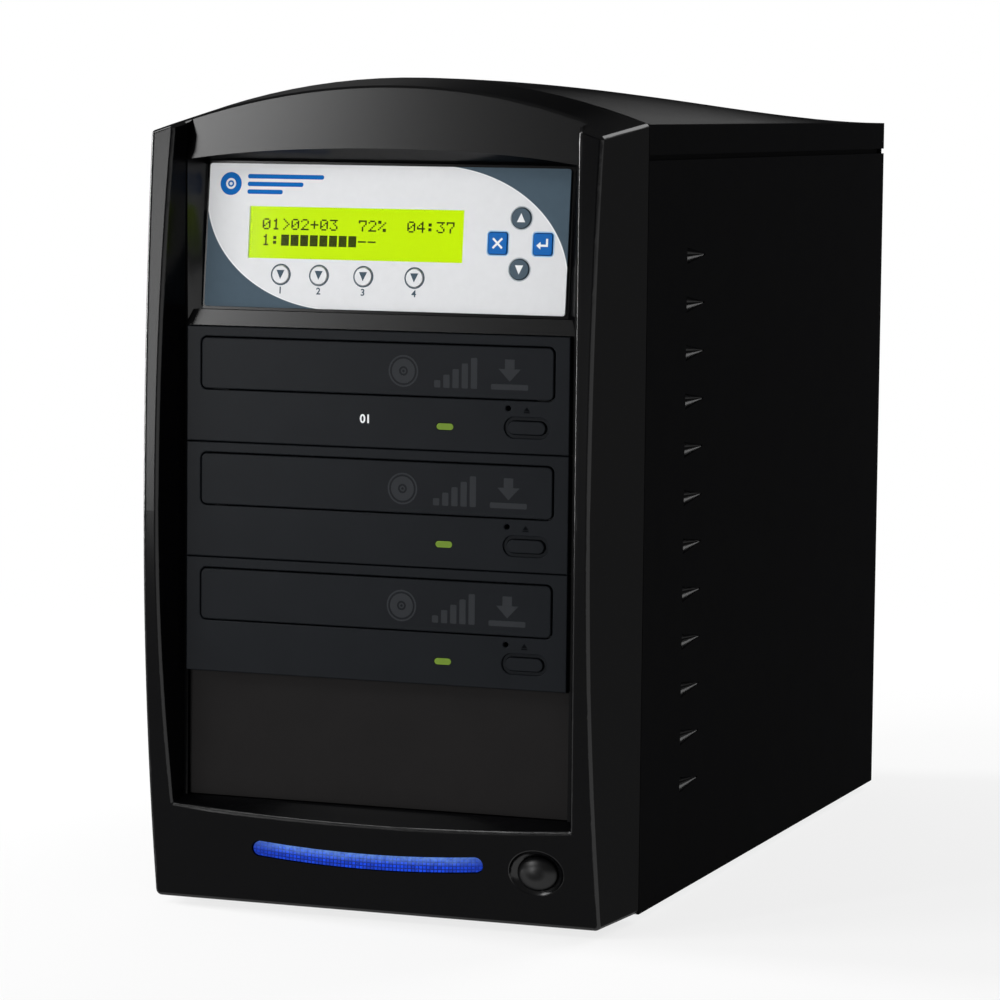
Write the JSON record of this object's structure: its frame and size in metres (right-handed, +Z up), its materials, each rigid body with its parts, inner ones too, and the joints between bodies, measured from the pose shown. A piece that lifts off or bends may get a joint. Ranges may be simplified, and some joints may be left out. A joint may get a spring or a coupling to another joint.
{
  "type": "disc duplicator tower",
  "caption": "Black tower disc duplicator: arched bezel with control panel and stacked disc drives over a blanked bay, light bar and power button, louvred steel sides, mains inlet behind.",
  "frame": {"origin": "on the ground, under the middle of the bounding box", "axes": "front faces -Y, +X to the right seen from the front, +Z up"},
  "size_m": [0.18, 0.379, 0.306],
  "materials": {
    "moulded_abs_black": "satin moulded",
    "painted_steel_black": "satin powder coat",
    "galvanised_steel": "zinc coated",
    "foot_rubber": "matt",
    "blue_light_lens": "translucent, lit",
    "green_light_lens": "translucent, lit",
    "circuit_board": "solder mask",
    "overlay_polyester": "printed film, satin",
    "clear_window": "clear",
    "display_yellow_green": "back-lit display",
    "black_nylon": "moulded",
    "bright_steel": "nickel plated",
    "key_grey": "satin",
    "key_blue": "satin",
    "drive_face_plastic": "fine texture",
    "tray_plastic": "fine texture"
  },
  "bodies": {
    "case": {"base_pan": "galvanised_steel", "bay_blank": "moulded_abs_black", "case_screws": "bright_steel", "controller_board": "circuit_board", "drive_1_chassis": "galvanised_steel", "drive_1_deck": "tray_plastic", "drive_1_face": "drive_face_plastic", "drive_1_light": "green_light_lens", "drive_2_chassis": "galvanised_steel", "drive_2_deck": "tray_plastic", "drive_2_face": "drive_face_plastic", "drive_2_light": "green_light_lens", "drive_3_chassis": "galvanised_steel", "drive_3_deck": "tray_plastic", "drive_3_face": "drive_face_plastic", "drive_3_light": "green_light_lens", "drive_cage": "galvanised_steel", "drive_screws": "bright_steel", "fan_frame": "black_nylon", "fan_guard": "bright_steel", "front_bezel": "moulded_abs_black", "keypad_board": "circuit_board", "lcd_module": "display_yellow_green", "lcd_window": "clear_window", "light_bar": "blue_light_lens", "light_board": "circuit_board", "panel_overlay": "overlay_polyester", "power_switch": "circuit_board", "psu_board": "circuit_board", "psu_case": "galvanised_steel", "psu_inlet": "black_nylon", "psu_switch_frame": "black_nylon", "rear_panel": "painted_steel_black", "rubber_feet": "foot_rubber", "side_panel_left": "painted_steel_black", "side_panel_right": "painted_steel_black", "top_cover": "painted_steel_black"},
    "drive_1_tray": {"drive_1_tray": "tray_plastic", "drive_1_tray_door": "drive_face_plastic"},
    "drive_1_eject_button": {"drive_1_eject_button": "drive_face_plastic"},
    "drive_1_spindle": {"drive_1_spindle": "bright_steel"},
    "drive_2_tray": {"drive_2_tray": "tray_plastic", "drive_2_tray_door": "drive_face_plastic"},
    "drive_2_eject_button": {"drive_2_eject_button": "drive_face_plastic"},
    "drive_2_spindle": {"drive_2_spindle": "bright_steel"},
    "drive_3_tray": {"drive_3_tray": "tray_plastic", "drive_3_tray_door": "drive_face_plastic"},
    "drive_3_eject_button": {"drive_3_eject_button": "drive_face_plastic"},
    "drive_3_spindle": {"drive_3_spindle": "bright_steel"},
    "key_up": {"key_up": "key_grey"},
    "key_down": {"key_down": "key_grey"},
    "key_escape": {"key_escape": "key_blue"},
    "key_enter": {"key_enter": "key_blue"},
    "shortcut_key_1": {"shortcut_key_1": "overlay_polyester"},
    "shortcut_key_2": {"shortcut_key_2": "overlay_polyester"},
    "shortcut_key_3": {"shortcut_key_3": "overlay_polyester"},
    "shortcut_key_4": {"shortcut_key_4": "overlay_polyester"},
    "power_button": {"power_button": "moulded_abs_black"},
    "psu_rocker": {"psu_rocker": "black_nylon"},
    "fan_rotor": {"fan_rotor": "black_nylon"}
  },
  "joints": [
    {"name": "drive_1_tray_slide", "type": "slide", "parent": "case", "child": "drive_1_tray", "axis": [0, -1, 0], "range_m": [0, 0.13]},
    {"name": "drive_1_eject_press", "type": "slide", "parent": "case", "child": "drive_1_eject_button", "axis": [0, 1, 0], "range_m": [0, 0.001], "stiffness_N_per_m": 800},
    {"name": "drive_1_spindle_spin", "type": "hinge", "parent": "case", "child": "drive_1_spindle", "pos_m": [0, -0.1089, 0.1891], "axis": [0, 0, 1], "continuous": true},
    {"name": "drive_2_tray_slide", "type": "slide", "parent": "case", "child": "drive_2_tray", "axis": [0, -1, 0], "range_m": [0, 0.13]},
    {"name": "drive_2_eject_press", "type": "slide", "parent": "case", "child": "drive_2_eject_button", "axis": [0, 1, 0], "range_m": [0, 0.001], "stiffness_N_per_m": 800},
    {"name": "drive_2_spindle_spin", "type": "hinge", "parent": "case", "child": "drive_2_spindle", "pos_m": [0, -0.1089, 0.1468], "axis": [0, 0, 1], "continuous": true},
    {"name": "drive_3_tray_slide", "type": "slide", "parent": "case", "child": "drive_3_tray", "axis": [0, -1, 0], "range_m": [0, 0.13]},
    {"name": "drive_3_eject_press", "type": "slide", "parent": "case", "child": "drive_3_eject_button", "axis": [0, 1, 0], "range_m": [0, 0.001], "stiffness_N_per_m": 800},
    {"name": "drive_3_spindle_spin", "type": "hinge", "parent": "case", "child": "drive_3_spindle", "pos_m": [0, -0.1089, 0.1045], "axis": [0, 0, 1], "continuous": true},
    {"name": "key_up_press", "type": "slide", "parent": "case", "child": "key_up", "axis": [0, 0.9949, -0.1011], "range_m": [0, 0.0005], "stiffness_N_per_m": 2000},
    {"name": "key_down_press", "type": "slide", "parent": "case", "child": "key_down", "axis": [0, 0.9949, -0.1011], "range_m": [0, 0.0005], "stiffness_N_per_m": 2000},
    {"name": "key_escape_press", "type": "slide", "parent": "case", "child": "key_escape", "axis": [0, 0.9949, -0.1011], "range_m": [0, 0.0005], "stiffness_N_per_m": 2000},
    {"name": "key_enter_press", "type": "slide", "parent": "case", "child": "key_enter", "axis": [0, 0.9949, -0.1011], "range_m": [0, 0.0005], "stiffness_N_per_m": 2000},
    {"name": "shortcut_key_1_press", "type": "slide", "parent": "case", "child": "shortcut_key_1", "axis": [0, 0.9949, -0.1011], "range_m": [0, 0.0005], "stiffness_N_per_m": 2000},
    {"name": "shortcut_key_2_press", "type": "slide", "parent": "case", "child": "shortcut_key_2", "axis": [0, 0.9949, -0.1011], "range_m": [0, 0.0005], "stiffness_N_per_m": 2000},
    {"name": "shortcut_key_3_press", "type": "slide", "parent": "case", "child": "shortcut_key_3", "axis": [0, 0.9949, -0.1011], "range_m": [0, 0.0005], "stiffness_N_per_m": 2000},
    {"name": "shortcut_key_4_press", "type": "slide", "parent": "case", "child": "shortcut_key_4", "axis": [0, 0.9949, -0.1011], "range_m": [0, 0.0005], "stiffness_N_per_m": 2000},
    {"name": "power_button_press", "type": "slide", "parent": "case", "child": "power_button", "axis": [0, 1, 0], "range_m": [0, 0.0025], "stiffness_N_per_m": 600},
    {"name": "psu_rocker_tip", "type": "hinge", "parent": "case", "child": "psu_rocker", "pos_m": [-0.012, 0.181, 0.047], "axis": [-1, 0, 0], "range_deg": [0, 18]},
    {"name": "fan_rotor_spin", "type": "hinge", "parent": "case", "child": "fan_rotor", "pos_m": [0, 0.173, 0.152], "axis": [0, 1, 0], "continuous": true}
  ]
}
